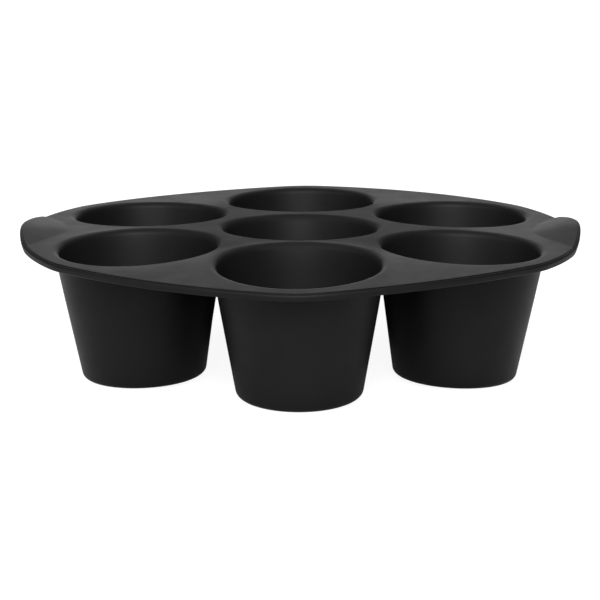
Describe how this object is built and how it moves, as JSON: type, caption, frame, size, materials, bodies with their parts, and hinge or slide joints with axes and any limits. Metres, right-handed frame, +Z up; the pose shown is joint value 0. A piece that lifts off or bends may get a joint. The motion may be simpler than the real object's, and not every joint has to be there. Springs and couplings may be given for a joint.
{
  "type": "muffin mould",
  "caption": "Round black silicone muffin mould: deep tapered cups around a centre cup, hung from one flat deck with a stepped rim and upswept handle tabs.",
  "frame": {"origin": "middle of the mould, on the surface that the cups stand on", "axes": "+X to the right handle, +Y to the back, +Z up out of the cups' mouths"},
  "size_m": [0.1976, 0.197, 0.0492],
  "materials": {
    "silicone": "matte"
  },
  "bodies": {
    "root": {"deck": "silicone", "rim": "silicone", "cup_centre": "silicone", "cup_right_back": "silicone", "cup_back": "silicone", "cup_left_back": "silicone", "cup_left_front": "silicone", "cup_front": "silicone", "cup_right_front": "silicone", "handle_left": "silicone", "handle_right": "silicone"}
  },
  "joints": []
}
